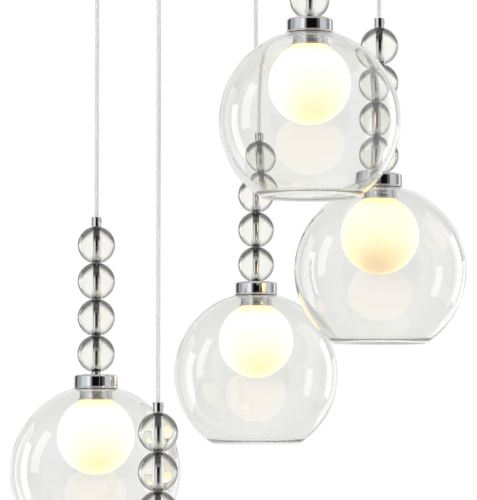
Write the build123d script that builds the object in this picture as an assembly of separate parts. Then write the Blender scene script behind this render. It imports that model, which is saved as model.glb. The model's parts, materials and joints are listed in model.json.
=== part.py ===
from build123d import *

import math
import os

os.makedirs("parts", exist_ok=True)

# A cluster chandelier: five clear glass globes, each with an opal ball inside and four crystal
# balls above, hang at different heights on their own cords from one round ceiling canopy.
# The origin is the middle of the canopy's mounting plane on the ceiling, and all hangs to -Z.
# Lengths are in millimetres and angles in degrees. Bearings turn from +X towards +Y.

# Fits shared by all pieces
SEAT_GAP = 0.3
SLIDE_FIT = 0.2
THREAD_FIT = 0.1
CUT_OVERRUN = 5.0
NEAR = 0.01
QUARTER_TURN = 90.0

# Where the pendants hang on the canopy, and how long each cord is between its two pivots.
# Pendant e comes first, a little further in than the others, and GAP_SHARES share out the
# full turn between each pendant and the next.
PITCH_RADIUS = 176.0
PITCH_RADIUS_E = 166.0
FULL_TURN = 360.0
FIRST_PENDANT_ANGLE = 4.0
GAP_SHARES = {"e": 78.7, "c": 78.8, "a": 78.8, "b": 56.5, "d": 67.2}
CORD_A_LENGTH = 516.0
CORD_B_LENGTH = 735.0
CORD_C_LENGTH = 404.0
CORD_D_LENGTH = 130.0
CORD_E_LENGTH = 286.0
CORD_LENGTHS = {
    "a": CORD_A_LENGTH,
    "b": CORD_B_LENGTH,
    "c": CORD_C_LENGTH,
    "d": CORD_D_LENGTH,
    "e": CORD_E_LENGTH,
}
CORD_RADIUS = 2.4

# Canopy: a spun pan that opens towards the ceiling
CANOPY_EDGE_MARGIN = 39.0
CANOPY_RADIUS = PITCH_RADIUS + CANOPY_EDGE_MARGIN
CANOPY_DEPTH = 45.0
CANOPY_WALL = 1.2
CANOPY_CORNER = 12.0

# Bar that is screwed to the ceiling, with slots for two screws and a hole for the supply cable
BAR_END_MARGIN = 15.0
BAR_WIDTH = 30.0
BAR_THICKNESS = 2.0
SLOT_SPACING = 150.0
SLOT_LENGTH = 20.0
SLOT_RADIUS = 2.75
CABLE_HOLE_RADIUS = 10.0

# Threaded studs in the bar, and the dome nuts that hold the canopy up on them
STUD_SPACING = 260.0
STUD_RADIUS = 2.5
STUD_BELOW_CANOPY = 7.0
NUT_RADIUS = 7.0
NUT_SKIRT = 4.0

# Earth screw in the bar
EARTH_PLACE = 40.0
EARTH_RADIUS = 2.0
EARTH_HEAD_RADIUS = 4.0
EARTH_HEAD_HEIGHT = 2.6
EARTH_HEAD_ROUND = 1.0
EARTH_SLOT_WIDTH = 1.0
EARTH_SLOT_DEPTH = 1.2

# Terminal block under the bar, a strip of poles with a wire port on each side
BLOCK_WIDTH = 18.0
BLOCK_HEIGHT = 15.0
BLOCK_START = 14.0
BLOCK_POLES = 4
POLE_PITCH = 13.0
POLE_NECK_WIDTH = 12.0
POLE_GROOVE = 2.0
PORT_RADIUS = 1.8
CLAMP_HOLE_RADIUS = 2.0
CLAMP_HOLE_DEPTH = 4.0
CLAMP_HOLE_SPACING = 8.0

# Cord grips in the canopy, and the locknuts that hold them
GRIP_SHANK_RADIUS = 5.0
GRIP_SHANK_LENGTH = 8.0
GRIP_COLLAR_RADIUS = 8.5
GRIP_COLLAR_HEIGHT = 8.0
GRIP_HEIGHT = 16.0
GRIP_NOSE_RADIUS = 5.6
GRIP_BORE_RADIUS = 3.2
GRIP_THROAT_RISE = 3.0
GRIP_CONE_HEIGHT = 1.0
GRIP_BELL_RADIUS = 4.4
GRIP_ROUND = 1.0
LOCKNUT_ACROSS = 16.0
LOCKNUT_HEIGHT = 4.0

# Leads from the grips to the terminal block: side of the block and pole, by pendant
LEAD_RADIUS = 1.5
LEAD_BEND = 12.0
LEAD_IN_GRIP = 4.0
LEAD_RUN_OUT = 26.0
LEAD_IN_BLOCK = 4.0
LEAD_PORTS = {"a": (-1, 1), "b": (-1, 3), "c": (1, 0), "d": (1, 3), "e": (1, 1)}

# Ferrule at the lower end of each cord, with its grub screw
FERRULE_RADIUS = 5.9
FERRULE_HEIGHT = 11.6
FERRULE_CHAMFER = 0.6
FERRULE_MOUTH = 1.5
FERRULE_BORE_FLOOR = 0.8
FERRULE_BORE_FIT = 0.35
GRUB_RADIUS = 1.5
GRUB_LENGTH = 4.0
GRUB_PROUD = 0.5
GRUB_BELOW_PIVOT = 2.9
GRUB_SOCKET_RADIUS = 0.8
GRUB_SOCKET_DEPTH = 1.2

# Stem tube on which ferrule, crystal balls, cap, gallery and lampholder are threaded
STEM_RADIUS = 4.0
STEM_WALL = 1.0
STEM_IN_FERRULE = 5.0
STEM_IN_HOLDER = 4.0

# Crystal balls
BEAD_COUNT = 4
BEAD_RADIUS = 22.1
BEAD_HEIGHT = 42.8
BEAD_CHAMFER = 0.4

# Spacer collar, on pendant a alone
SPACER_RADIUS = 5.8
SPACER_HEIGHT = 3.0
SPACER_CHAMFER = 0.4

# Cap over the top of each clear globe
CAP_RADIUS = 26.2
CAP_HEIGHT = 15.8
CAP_WALL = 1.2
CAP_ROUND = 3.0
CAP_FLARE = 0.7
CAP_FLARE_HEIGHT = 2.0

# Clear globe, open below, with a lip at its mouth that is thicker than its wall
GLOBE_RADIUS = 100.0
GLOBE_WALL = 2.0
GLOBE_RIM_BELOW = 85.5
GLOBE_RIM_ROUND = 1.1
GLOBE_LIP_THICKNESS = 2.8
GLOBE_LIP_LENGTH = 6.0
GLOBE_HOLE_RADIUS = 20.6

# Gallery in the globe: its flange carries the clear globe, and its rim meets the opal ball
GALLERY_RADIUS = 19.7
GALLERY_WALL = 1.2
FLANGE_RADIUS = 23.2
FLANGE_THICKNESS = 1.8
GALLERY_RIM_RADIUS = 21.6
GALLERY_RIM_HEIGHT = 1.8

# Opal ball, hung by its neck in the gallery
OPAL_RADIUS = 45.5
OPAL_WALL = 2.5
OPAL_ABOVE_CENTRE = 41.0
OPAL_NECK_LENGTH = 8.0

# Lampholder and two-pin lamp inside the opal ball
HOLDER_RADIUS = 8.6
HOLDER_HEIGHT = 22.0
HOLDER_ROUND = 1.0
LAMP_RADIUS = 7.8
LAMP_LENGTH = 42.0
LAMP_BASE_HEIGHT = 12.0
LAMP_BASE_WIDTH = 13.0
LAMP_BASE_THICKNESS = 7.0
PIN_RADIUS = 0.6
PIN_LENGTH = 6.5
PIN_SPACING = 9.0

# Heights in the canopy, from the ceiling plane
CANOPY_INSIDE = CANOPY_WALL - CANOPY_DEPTH
GRIP_MOUTH = -CANOPY_DEPTH - GRIP_HEIGHT
THROAT = GRIP_MOUTH + GRIP_THROAT_RISE
GRIP_TOP = CANOPY_INSIDE + GRIP_SHANK_LENGTH
PORT_HEIGHT = -BAR_THICKNESS - BLOCK_HEIGHT / 2
THROAT_RADIUS = CORD_RADIUS + SEAT_GAP

# Heights in a pendant, from the middle of its clear globe
CAP_INSIDE_RADIUS = CAP_RADIUS - CAP_WALL
CAP_BOTTOM = math.sqrt(GLOBE_RADIUS**2 - CAP_INSIDE_RADIUS**2) + SEAT_GAP
CAP_TOP = CAP_BOTTOM + CAP_HEIGHT
GALLERY_TOP = CAP_TOP - CAP_WALL
GALLERY_INSIDE_RADIUS = GALLERY_RADIUS - GALLERY_WALL
GLOBE_INSIDE_RADIUS = GLOBE_RADIUS - GLOBE_WALL
FLANGE_TOP = math.sqrt(GLOBE_INSIDE_RADIUS**2 - FLANGE_RADIUS**2) - SEAT_GAP
OPAL_AT_GALLERY = math.sqrt(OPAL_RADIUS**2 - GALLERY_INSIDE_RADIUS**2)
GALLERY_BOTTOM = OPAL_ABOVE_CENTRE + OPAL_AT_GALLERY + SEAT_GAP
HOLDER_TOP = GALLERY_TOP - GALLERY_WALL
HOLDER_BOTTOM = HOLDER_TOP - HOLDER_HEIGHT
BEADS_TOP = CAP_TOP + BEAD_COUNT * BEAD_HEIGHT
PIVOT = BEADS_TOP + FERRULE_HEIGHT - FERRULE_MOUTH
FERRULE_TOP = PIVOT + FERRULE_MOUTH
STEM_TOP = BEADS_TOP + STEM_IN_FERRULE
STEM_HOLE_RADIUS = STEM_RADIUS + SLIDE_FIT


def turned(outline):
    """A solid of revolution about Z from (radius, height) points."""
    corners = [(radius, 0, height) for radius, height in outline]
    return revolve(make_face(Polyline(*corners, close=True)), Axis.Z)


def rod(radius, low, high):
    """A round bar about Z between two heights."""
    return Pos(0, 0, (low + high) / 2) * Cylinder(radius, high - low)


def circles(solid, radius, height):
    """The circular edges of a solid that have this radius at this height."""
    found = solid.edges().filter_by(GeomType.CIRCLE)
    found = [edge for edge in found if abs(edge.radius - radius) < NEAR]
    return [edge for edge in found if abs(edge.arc_center.Z - height) < NEAR]


def mirrored_places(spacing):
    """Two places along Y, this far apart about the middle."""
    return -spacing / 2, spacing / 2


def canopy_place(name):
    """Where a pendant hangs, seen from above."""
    order = list(GAP_SHARES)
    share_before = sum(GAP_SHARES[other] for other in order[:order.index(name)])
    turn_before = FULL_TURN * share_before / sum(GAP_SHARES.values())
    bearing = math.radians(FIRST_PENDANT_ANGLE + turn_before)
    radius = PITCH_RADIUS_E if name == "e" else PITCH_RADIUS
    return radius * math.cos(bearing), radius * math.sin(bearing)


def cord_end(name):
    """The height of the pivot where a cord enters its ferrule."""
    return THROAT - CORD_LENGTHS[name]


def upper_place(name):
    """The frame of the pieces above the spacer collar, which all pendants share."""
    x, y = canopy_place(name)
    return Pos(x, y, cord_end(name) - PIVOT)


def globe_place(name):
    """The middle of a clear globe. The spacer collar puts it lower on pendant a."""
    spacer = SPACER_HEIGHT if name == "a" else 0
    return Pos(0, 0, -spacer) * upper_place(name)


def canopy_pan():
    inside_radius = CANOPY_RADIUS - CANOPY_WALL
    outer = rod(CANOPY_RADIUS, -CANOPY_DEPTH, 0)
    outer = fillet(circles(outer, CANOPY_RADIUS, -CANOPY_DEPTH), CANOPY_CORNER)
    inner = rod(inside_radius, CANOPY_INSIDE, CUT_OVERRUN)
    inner = fillet(circles(inner, inside_radius, CANOPY_INSIDE), CANOPY_CORNER - CANOPY_WALL)
    pan = outer - inner
    low = -CANOPY_DEPTH - CUT_OVERRUN
    high = CANOPY_INSIDE + CUT_OVERRUN
    for name in CORD_LENGTHS:
        x, y = canopy_place(name)
        pan -= Pos(x, y, 0) * rod(GRIP_SHANK_RADIUS + SLIDE_FIT, low, high)
    for y in mirrored_places(STUD_SPACING):
        pan -= Pos(0, y, 0) * rod(STUD_RADIUS + SLIDE_FIT, low, high)
    return pan


def ceiling_bar():
    length = STUD_SPACING + 2 * BAR_END_MARGIN
    blank = SlotOverall(length, BAR_WIDTH, rotation=QUARTER_TURN)
    slot = SlotOverall(SLOT_LENGTH, 2 * SLOT_RADIUS, rotation=QUARTER_TURN)
    for y in mirrored_places(SLOT_SPACING):
        blank -= Pos(0, y, 0) * slot
    for y in mirrored_places(STUD_SPACING):
        blank -= Pos(0, y, 0) * Circle(STUD_RADIUS + THREAD_FIT)
    blank -= Circle(CABLE_HOLE_RADIUS)
    blank -= Pos(0, EARTH_PLACE, 0) * Circle(EARTH_RADIUS + THREAD_FIT)
    return extrude(blank, -BAR_THICKNESS)


def studs():
    low = -CANOPY_DEPTH - STUD_BELOW_CANOPY
    return [Pos(0, y, 0) * rod(STUD_RADIUS, low, 0) for y in mirrored_places(STUD_SPACING)]


def dome_nut():
    """A dome nut under the canopy, with its thread open at the top."""
    skirt_bottom = -CANOPY_DEPTH - NUT_SKIRT
    nut = rod(NUT_RADIUS, skirt_bottom, -CANOPY_DEPTH)
    dome = Pos(0, 0, skirt_bottom) * Sphere(NUT_RADIUS)
    nut += dome & rod(NUT_RADIUS, skirt_bottom - NUT_RADIUS, skirt_bottom)
    thread_bottom = -CANOPY_DEPTH - STUD_BELOW_CANOPY - SEAT_GAP
    return nut - rod(STUD_RADIUS + THREAD_FIT, thread_bottom, -CANOPY_DEPTH + CUT_OVERRUN)


def dome_nuts():
    return [Pos(0, y, 0) * dome_nut() for y in mirrored_places(STUD_SPACING)]


def earth_screw():
    head_top = -BAR_THICKNESS
    head_bottom = head_top - EARTH_HEAD_HEIGHT
    head = rod(EARTH_HEAD_RADIUS, head_bottom, head_top)
    head = fillet(circles(head, EARTH_HEAD_RADIUS, head_bottom), EARTH_HEAD_ROUND)
    slot = Box(2 * EARTH_HEAD_RADIUS, EARTH_SLOT_WIDTH, 2 * EARTH_SLOT_DEPTH)
    screw = head + rod(EARTH_RADIUS, head_top, 0) - Pos(0, 0, head_bottom) * slot
    return Pos(0, EARTH_PLACE, 0) * screw


def pole_place(pole):
    """The middle of a pole of the terminal block, along Y."""
    return -BLOCK_START - (pole + 1 / 2) * POLE_PITCH


def terminal_block():
    length = BLOCK_POLES * POLE_PITCH
    bottom = -BAR_THICKNESS - BLOCK_HEIGHT
    block = Pos(0, -BLOCK_START - length / 2, PORT_HEIGHT) * Box(BLOCK_WIDTH, length, BLOCK_HEIGHT)
    port = Rot(0, QUARTER_TURN, 0) * Cylinder(PORT_RADIUS, BLOCK_WIDTH + CUT_OVERRUN)
    clamp = rod(CLAMP_HOLE_RADIUS, bottom - CUT_OVERRUN, bottom + CLAMP_HOLE_DEPTH)
    for pole in range(BLOCK_POLES):
        block -= Pos(0, pole_place(pole), PORT_HEIGHT) * port
        for x in mirrored_places(CLAMP_HOLE_SPACING):
            block -= Pos(x, pole_place(pole), 0) * clamp
    neck = (BLOCK_WIDTH - POLE_NECK_WIDTH) / 2
    groove = Box(2 * neck, POLE_GROOVE, BLOCK_HEIGHT + CUT_OVERRUN)
    for cut in range(1, BLOCK_POLES):
        for x in mirrored_places(BLOCK_WIDTH):
            block -= Pos(x, -BLOCK_START - cut * POLE_PITCH, PORT_HEIGHT) * groove
    return block


def cord_grip():
    """A turned grip: threaded shank through the canopy, collar below, bell mouth for the cord."""
    collar_bottom = -CANOPY_DEPTH - GRIP_COLLAR_HEIGHT
    grip = turned([
        (GRIP_BORE_RADIUS, GRIP_TOP),
        (GRIP_SHANK_RADIUS, GRIP_TOP),
        (GRIP_SHANK_RADIUS, -CANOPY_DEPTH),
        (GRIP_COLLAR_RADIUS, -CANOPY_DEPTH),
        (GRIP_COLLAR_RADIUS, collar_bottom),
        (GRIP_NOSE_RADIUS, GRIP_MOUTH),
        (GRIP_BELL_RADIUS, GRIP_MOUTH),
        (THROAT_RADIUS, THROAT),
        (GRIP_BORE_RADIUS, THROAT + GRIP_CONE_HEIGHT),
    ])
    return fillet(circles(grip, GRIP_COLLAR_RADIUS, collar_bottom), GRIP_ROUND)


def locknut():
    top = CANOPY_INSIDE + LOCKNUT_HEIGHT
    nut = extrude(RegularPolygon(LOCKNUT_ACROSS / 2, 6, major_radius=False), LOCKNUT_HEIGHT)
    hole = rod(GRIP_SHANK_RADIUS + THREAD_FIT, CANOPY_INSIDE - CUT_OVERRUN, top + CUT_OVERRUN)
    return Pos(0, 0, CANOPY_INSIDE) * nut - hole


def above_pendants(piece):
    """A copy of a canopy piece over each pendant."""
    return [Pos(*canopy_place(name), 0) * piece for name in CORD_LENGTHS]


def lead(name):
    """A lead from a grip up, across and into its port of the terminal block."""
    x, y = canopy_place(name)
    side, pole = LEAD_PORTS[name]
    port_y = pole_place(pole)
    start = (x, y, GRIP_TOP - LEAD_IN_GRIP)
    over_grip = (x, y, PORT_HEIGHT)
    by_block = (side * (BLOCK_WIDTH / 2 + LEAD_RUN_OUT), port_y, PORT_HEIGHT)
    end = (side * (BLOCK_WIDTH / 2 - LEAD_IN_BLOCK), port_y, PORT_HEIGHT)
    path = FilletPolyline(start, over_grip, by_block, end, radius=LEAD_BEND)
    return sweep(Plane(start, z_dir=(0, 0, 1)) * Circle(LEAD_RADIUS), path=path)


def cord(name):
    x, y = canopy_place(name)
    return Pos(x, y, 0) * rod(CORD_RADIUS, cord_end(name), THROAT)


def ferrule_body():
    """A turned ferrule with a blind bore for the cord above and for the stem below."""
    bore = CORD_RADIUS + FERRULE_BORE_FIT
    inner = FERRULE_RADIUS - FERRULE_CHAMFER
    return turned([
        (0, PIVOT - FERRULE_BORE_FLOOR),
        (bore, PIVOT - FERRULE_BORE_FLOOR),
        (bore, FERRULE_TOP - FERRULE_CHAMFER),
        (bore + FERRULE_CHAMFER, FERRULE_TOP),
        (inner, FERRULE_TOP),
        (FERRULE_RADIUS, FERRULE_TOP - FERRULE_CHAMFER),
        (FERRULE_RADIUS, BEADS_TOP + FERRULE_CHAMFER),
        (inner, BEADS_TOP),
        (STEM_RADIUS + THREAD_FIT, BEADS_TOP),
        (STEM_RADIUS + THREAD_FIT, STEM_TOP),
        (0, STEM_TOP),
    ])


def ferrule():
    """The ferrule and the grub screw in its side, as two solids."""
    inner_end = FERRULE_RADIUS + GRUB_PROUD - GRUB_LENGTH
    outer_end = FERRULE_RADIUS + GRUB_PROUD
    to_side = Pos(0, 0, PIVOT - GRUB_BELOW_PIVOT) * Rot(0, QUARTER_TURN, 0)
    hole = to_side * rod(GRUB_RADIUS + THREAD_FIT, inner_end, outer_end + CUT_OVERRUN)
    socket_bottom = outer_end - GRUB_SOCKET_DEPTH
    screw = rod(GRUB_RADIUS, inner_end, outer_end)
    screw -= rod(GRUB_SOCKET_RADIUS, socket_bottom, outer_end + CUT_OVERRUN)
    return [ferrule_body() - hole, to_side * screw]


def stem_tube(name):
    """The tube from ferrule to lampholder, longer on the pendant with a spacer collar."""
    spacer = SPACER_HEIGHT if name == "a" else 0
    low = HOLDER_TOP - STEM_IN_HOLDER - spacer
    tube = rod(STEM_RADIUS, low, STEM_TOP)
    return tube - rod(STEM_RADIUS - STEM_WALL, low - CUT_OVERRUN, STEM_TOP + CUT_OVERRUN)


def crystal_ball():
    """A ball with a flat and a bore at each end, so that it stacks on the stem."""
    low, high = -BEAD_HEIGHT / 2, BEAD_HEIGHT / 2
    ball = Sphere(BEAD_RADIUS) & rod(BEAD_RADIUS, low, high)
    flat_radius = math.sqrt(BEAD_RADIUS**2 - high**2)
    for height in (low, high):
        ball = chamfer(circles(ball, flat_radius, height), BEAD_CHAMFER)
    return ball - rod(STEM_HOLE_RADIUS, low - CUT_OVERRUN, high + CUT_OVERRUN)


def crystal_balls():
    ball = crystal_ball()
    middles = [CAP_TOP + (count + 1 / 2) * BEAD_HEIGHT for count in range(BEAD_COUNT)]
    return [Pos(0, 0, middle) * ball for middle in middles]


def spacer_collar():
    collar = rod(SPACER_RADIUS, CAP_TOP - SPACER_HEIGHT, CAP_TOP)
    for height in (CAP_TOP - SPACER_HEIGHT, CAP_TOP):
        collar = chamfer(circles(collar, SPACER_RADIUS, height), SPACER_CHAMFER)
    hole_bottom = CAP_TOP - SPACER_HEIGHT - CUT_OVERRUN
    return collar - rod(STEM_HOLE_RADIUS, hole_bottom, CAP_TOP + CUT_OVERRUN)


def cap():
    """A spun cap with a rounded shoulder and a slight flare at its lower edge."""
    shell = turned([
        (STEM_HOLE_RADIUS, CAP_TOP),
        (CAP_RADIUS, CAP_TOP),
        (CAP_RADIUS, CAP_BOTTOM + CAP_FLARE_HEIGHT),
        (CAP_RADIUS + CAP_FLARE, CAP_BOTTOM + CAP_FLARE),
        (CAP_RADIUS + CAP_FLARE, CAP_BOTTOM),
        (CAP_INSIDE_RADIUS, CAP_BOTTOM),
        (CAP_INSIDE_RADIUS, CAP_TOP - CAP_WALL),
        (STEM_HOLE_RADIUS, CAP_TOP - CAP_WALL),
    ])
    shell = fillet(circles(shell, CAP_RADIUS, CAP_TOP), CAP_ROUND)
    inner_round = CAP_ROUND - CAP_WALL
    return fillet(circles(shell, CAP_INSIDE_RADIUS, CAP_TOP - CAP_WALL), inner_round)


def gallery():
    """A turned cup: disc on the stem, flange under the clear globe, rim over the opal ball."""
    flange_bottom = FLANGE_TOP - FLANGE_THICKNESS
    rim_top = GALLERY_BOTTOM + GALLERY_RIM_HEIGHT
    return turned([
        (STEM_HOLE_RADIUS, GALLERY_TOP),
        (GALLERY_RADIUS, GALLERY_TOP),
        (GALLERY_RADIUS, FLANGE_TOP),
        (FLANGE_RADIUS, FLANGE_TOP),
        (FLANGE_RADIUS, flange_bottom),
        (GALLERY_RADIUS, flange_bottom),
        (GALLERY_RADIUS, rim_top),
        (GALLERY_RIM_RADIUS, rim_top),
        (GALLERY_RIM_RADIUS, GALLERY_BOTTOM),
        (GALLERY_INSIDE_RADIUS, GALLERY_BOTTOM),
        (GALLERY_INSIDE_RADIUS, GALLERY_TOP - GALLERY_WALL),
        (STEM_HOLE_RADIUS, GALLERY_TOP - GALLERY_WALL),
    ])


def below_middle(radius, angle):
    """A point of the globe's section, by its distance from the middle and its angle down."""
    return radius * math.cos(angle), -radius * math.sin(angle)


def globe_lip(mouth):
    """The ring that thickens the wall towards the mouth."""
    start = mouth - GLOBE_LIP_LENGTH / GLOBE_RADIUS
    mid_wall = (GLOBE_RADIUS + GLOBE_INSIDE_RADIUS) / 2
    return turned([
        below_middle(GLOBE_INSIDE_RADIUS, start),
        below_middle(mid_wall, start),
        below_middle(mid_wall, mouth),
        below_middle(GLOBE_RADIUS - GLOBE_LIP_THICKNESS, mouth),
    ])


def glass_globe():
    """A blown shell with a hole above for the gallery and a wide mouth below, cut square."""
    mouth = math.asin(GLOBE_RIM_BELOW / GLOBE_RADIUS)
    cut_end = below_middle(2 * GLOBE_RADIUS, mouth)
    shell = Sphere(GLOBE_RADIUS) - Sphere(GLOBE_INSIDE_RADIUS)
    shell -= rod(GLOBE_HOLE_RADIUS, 0, GLOBE_RADIUS + CUT_OVERRUN)
    shell -= turned([(0, 0), cut_end, (0, cut_end[1])])
    shell += globe_lip(mouth)
    rims = [below_middle(radius, mouth) for radius in (GLOBE_RADIUS, GLOBE_RADIUS - GLOBE_LIP_THICKNESS)]
    edges = [edge for rim in rims for edge in circles(shell, *rim)]
    return fillet(edges, GLOBE_RIM_ROUND)


def opal_ball():
    """A blown ball with a straight neck that stands up inside the gallery."""
    neck_radius = GALLERY_INSIDE_RADIUS - SEAT_GAP
    neck_top = GALLERY_BOTTOM + OPAL_NECK_LENGTH
    ball = Sphere(OPAL_RADIUS) + rod(neck_radius, 0, neck_top - OPAL_ABOVE_CENTRE)
    ball -= Sphere(OPAL_RADIUS - OPAL_WALL)
    ball -= rod(neck_radius - OPAL_WALL, 0, neck_top - OPAL_ABOVE_CENTRE + CUT_OVERRUN)
    return Pos(0, 0, OPAL_ABOVE_CENTRE) * ball


def pin_places():
    return [(x, 0) for x in mirrored_places(PIN_SPACING)]


def lampholder():
    """A ceramic holder on the end of the stem, with sockets for the lamp's two pins."""
    body = rod(HOLDER_RADIUS, HOLDER_BOTTOM, HOLDER_TOP)
    body = fillet(circles(body, HOLDER_RADIUS, HOLDER_BOTTOM), HOLDER_ROUND)
    stem_end = HOLDER_TOP - STEM_IN_HOLDER
    body -= rod(STEM_RADIUS + THREAD_FIT, stem_end, HOLDER_TOP + CUT_OVERRUN)
    socket_top = HOLDER_BOTTOM + PIN_LENGTH + SEAT_GAP
    for x, y in pin_places():
        socket = rod(PIN_RADIUS + THREAD_FIT, HOLDER_BOTTOM - CUT_OVERRUN, socket_top)
        body -= Pos(x, y, 0) * socket
    return body


def lamp():
    """A two-pin capsule lamp that pushes into the holder from below."""
    bottom = HOLDER_BOTTOM - LAMP_LENGTH
    base_bottom = HOLDER_BOTTOM - LAMP_BASE_HEIGHT
    base_middle = HOLDER_BOTTOM - LAMP_BASE_HEIGHT / 2
    body = Pos(0, 0, base_middle) * Box(LAMP_BASE_WIDTH, LAMP_BASE_THICKNESS, LAMP_BASE_HEIGHT)
    body += rod(LAMP_RADIUS, bottom + LAMP_RADIUS, base_bottom)
    body += Pos(0, 0, bottom + LAMP_RADIUS) * Sphere(LAMP_RADIUS)
    for x, y in pin_places():
        body += Pos(x, y, 0) * rod(PIN_RADIUS, base_middle, HOLDER_BOTTOM + PIN_LENGTH)
    return body


def canopy_nodes():
    return {
        "canopy_pan": [canopy_pan()],
        "ceiling_bar": [ceiling_bar()],
        "canopy_studs": studs(),
        "dome_nuts": dome_nuts(),
        "earth_screw": [earth_screw()],
        "terminal_block": [terminal_block()],
        "cord_grips": above_pendants(cord_grip()),
        "grip_locknuts": above_pendants(locknut()),
        "canopy_leads": [lead(name) for name in CORD_LENGTHS],
    }


def pendant_nodes():
    """The pieces of all pendants, each made once and copied to its place."""
    upper = {"ferrule": ferrule(), "crystal_balls": crystal_balls()}
    lower = {
        "cap": [cap()],
        "gallery": [gallery()],
        "glass_globe": [glass_globe()],
        "opal_ball": [opal_ball()],
        "lampholder": [lampholder()],
        "lamp": [lamp()],
    }
    nodes = {"spacer_collar_a": [upper_place("a") * spacer_collar()]}
    for name in CORD_LENGTHS:
        nodes[f"cord_{name}"] = [cord(name)]
        nodes[f"stem_tube_{name}"] = [upper_place(name) * stem_tube(name)]
        for kind, pieces in upper.items():
            nodes[f"{kind}_{name}"] = [upper_place(name) * piece for piece in pieces]
        for kind, pieces in lower.items():
            nodes[f"{kind}_{name}"] = [globe_place(name) * piece for piece in pieces]
    return nodes


def write(nodes):
    for name, pieces in nodes.items():
        solids = [solid for piece in pieces for solid in piece.solids()]
        export_step(Compound(children=solids), f"parts/{name}.step")


write(canopy_nodes())
write(pendant_nodes())
for name in sorted(CORD_LENGTHS):
    x, y = canopy_place(name)
    ends = f"from {THROAT:.1f} down to {cord_end(name):.1f}"
    print(f"cord {name} at x {x:.2f}, y {y:.2f}, {ends}, globe middle", globe_place(name).position.Z)
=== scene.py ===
import bmesh
import bpy
import json
import math
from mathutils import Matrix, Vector

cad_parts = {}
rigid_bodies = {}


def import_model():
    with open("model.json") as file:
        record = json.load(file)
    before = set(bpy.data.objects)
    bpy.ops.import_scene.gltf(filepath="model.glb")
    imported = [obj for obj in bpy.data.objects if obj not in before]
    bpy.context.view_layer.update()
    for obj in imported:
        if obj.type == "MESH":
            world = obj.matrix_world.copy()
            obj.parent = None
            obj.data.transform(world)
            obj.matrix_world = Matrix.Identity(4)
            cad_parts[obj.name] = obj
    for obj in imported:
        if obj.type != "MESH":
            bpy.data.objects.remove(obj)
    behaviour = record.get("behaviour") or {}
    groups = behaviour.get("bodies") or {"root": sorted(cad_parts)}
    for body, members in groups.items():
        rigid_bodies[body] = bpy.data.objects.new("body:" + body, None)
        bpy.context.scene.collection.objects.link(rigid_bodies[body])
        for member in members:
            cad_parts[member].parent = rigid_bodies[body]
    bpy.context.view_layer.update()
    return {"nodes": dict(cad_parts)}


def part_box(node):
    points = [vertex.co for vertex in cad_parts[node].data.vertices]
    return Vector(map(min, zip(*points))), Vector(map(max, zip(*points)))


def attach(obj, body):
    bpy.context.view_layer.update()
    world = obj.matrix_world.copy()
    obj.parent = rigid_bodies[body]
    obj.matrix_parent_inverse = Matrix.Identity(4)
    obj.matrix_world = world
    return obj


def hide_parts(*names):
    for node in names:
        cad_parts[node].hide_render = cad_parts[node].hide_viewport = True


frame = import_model()

# Looks of a cluster chandelier: five clear glass globes, each with an opal ball inside and four
# crystal balls above, on taut clear cords under a round chrome canopy.
# Lengths are in metres, and heights count from the ceiling.
PENDANTS = "abcde"
AMBER_PENDANT = "e"

# Camera at the photograph's viewing angle
EYE = (0.0009, -2.95, -0.80)
CAMERA_TILT = 3.59
CAMERA_LENS = 183.6
CAMERA_NEAR = 0.1

# Cords: a clear jacket over a pale core
CORD_DIAMETER = 0.0048
CORE_SHARE = 0.80
STRAIGHT_END = 6 * CORD_DIAMETER
CORD_FINENESS = 8

# Stem tube, ferrule and grub screw
STEM_RADIUS = 0.004
STEM_WALL = 0.001
STEM_HOLE_RADIUS = 0.0042
FERRULE_RADIUS = 0.0059
FERRULE_BORE_RADIUS = 0.00275
FERRULE_BORE_DEPTH = 0.0023
FERRULE_ROUND = 0.0006
STEM_IN_FERRULE = 0.005
GRUB_RADIUS = 0.0015
GRUB_LENGTH = 0.004
GRUB_PROUD = 0.0005
GRUB_BELOW_TOP = 0.0044
GRUB_SOCKET_RADIUS = 0.0008
GRUB_SOCKET_DEPTH = 0.0012

# Crystal balls
BALL_RADIUS = 0.0221
BALL_ROUND = 0.0004
BALL_COUNT = 4

# Painted shade on the crystal: how dark it is painted at its rims, above the middle of a ball,
# below it as a share of that, and to the left. Along the bore it stays clear, which ends between
# two shares of the ball's width.
EDGE_SHADE = 0.75
UPPER_SHADE = 2.5
LOWER_SHADE = 0.25
LEFT_SHADE = 0.6
CLEAR_BORE = (0.13, 0.195)

# Cap and gallery, and the fine round on metal edges
CAP_RADIUS = 0.0262
CAP_WALL = 0.0012
CAP_ROUND = 0.003
CAP_FLARE = 0.0007
CAP_FLARE_HEIGHT = 0.002
GALLERY_RADIUS = 0.0197
GALLERY_WALL = 0.0012
FLANGE_RADIUS = 0.0232
FLANGE_THICKNESS = 0.0018
RIM_RADIUS = 0.0216
RIM_HEIGHT = 0.0018
METAL_EDGE = 0.0003

# Clear globe and opal ball
GLOBE_RADIUS = 0.100
GLOBE_WALL = 0.002
GLOBE_RIM_ROUND = 0.0004
LIP_THICKNESS = 0.0028
LIP_LENGTH = 0.006
LIP_STEPS = 8
GLOBE_HOLE_RADIUS = 0.0206
SEAT_GAP = 0.0003
OPAL_RADIUS = 0.0455
OPAL_WALL = 0.0025
OPAL_NECK_ROUND = 0.001

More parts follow.
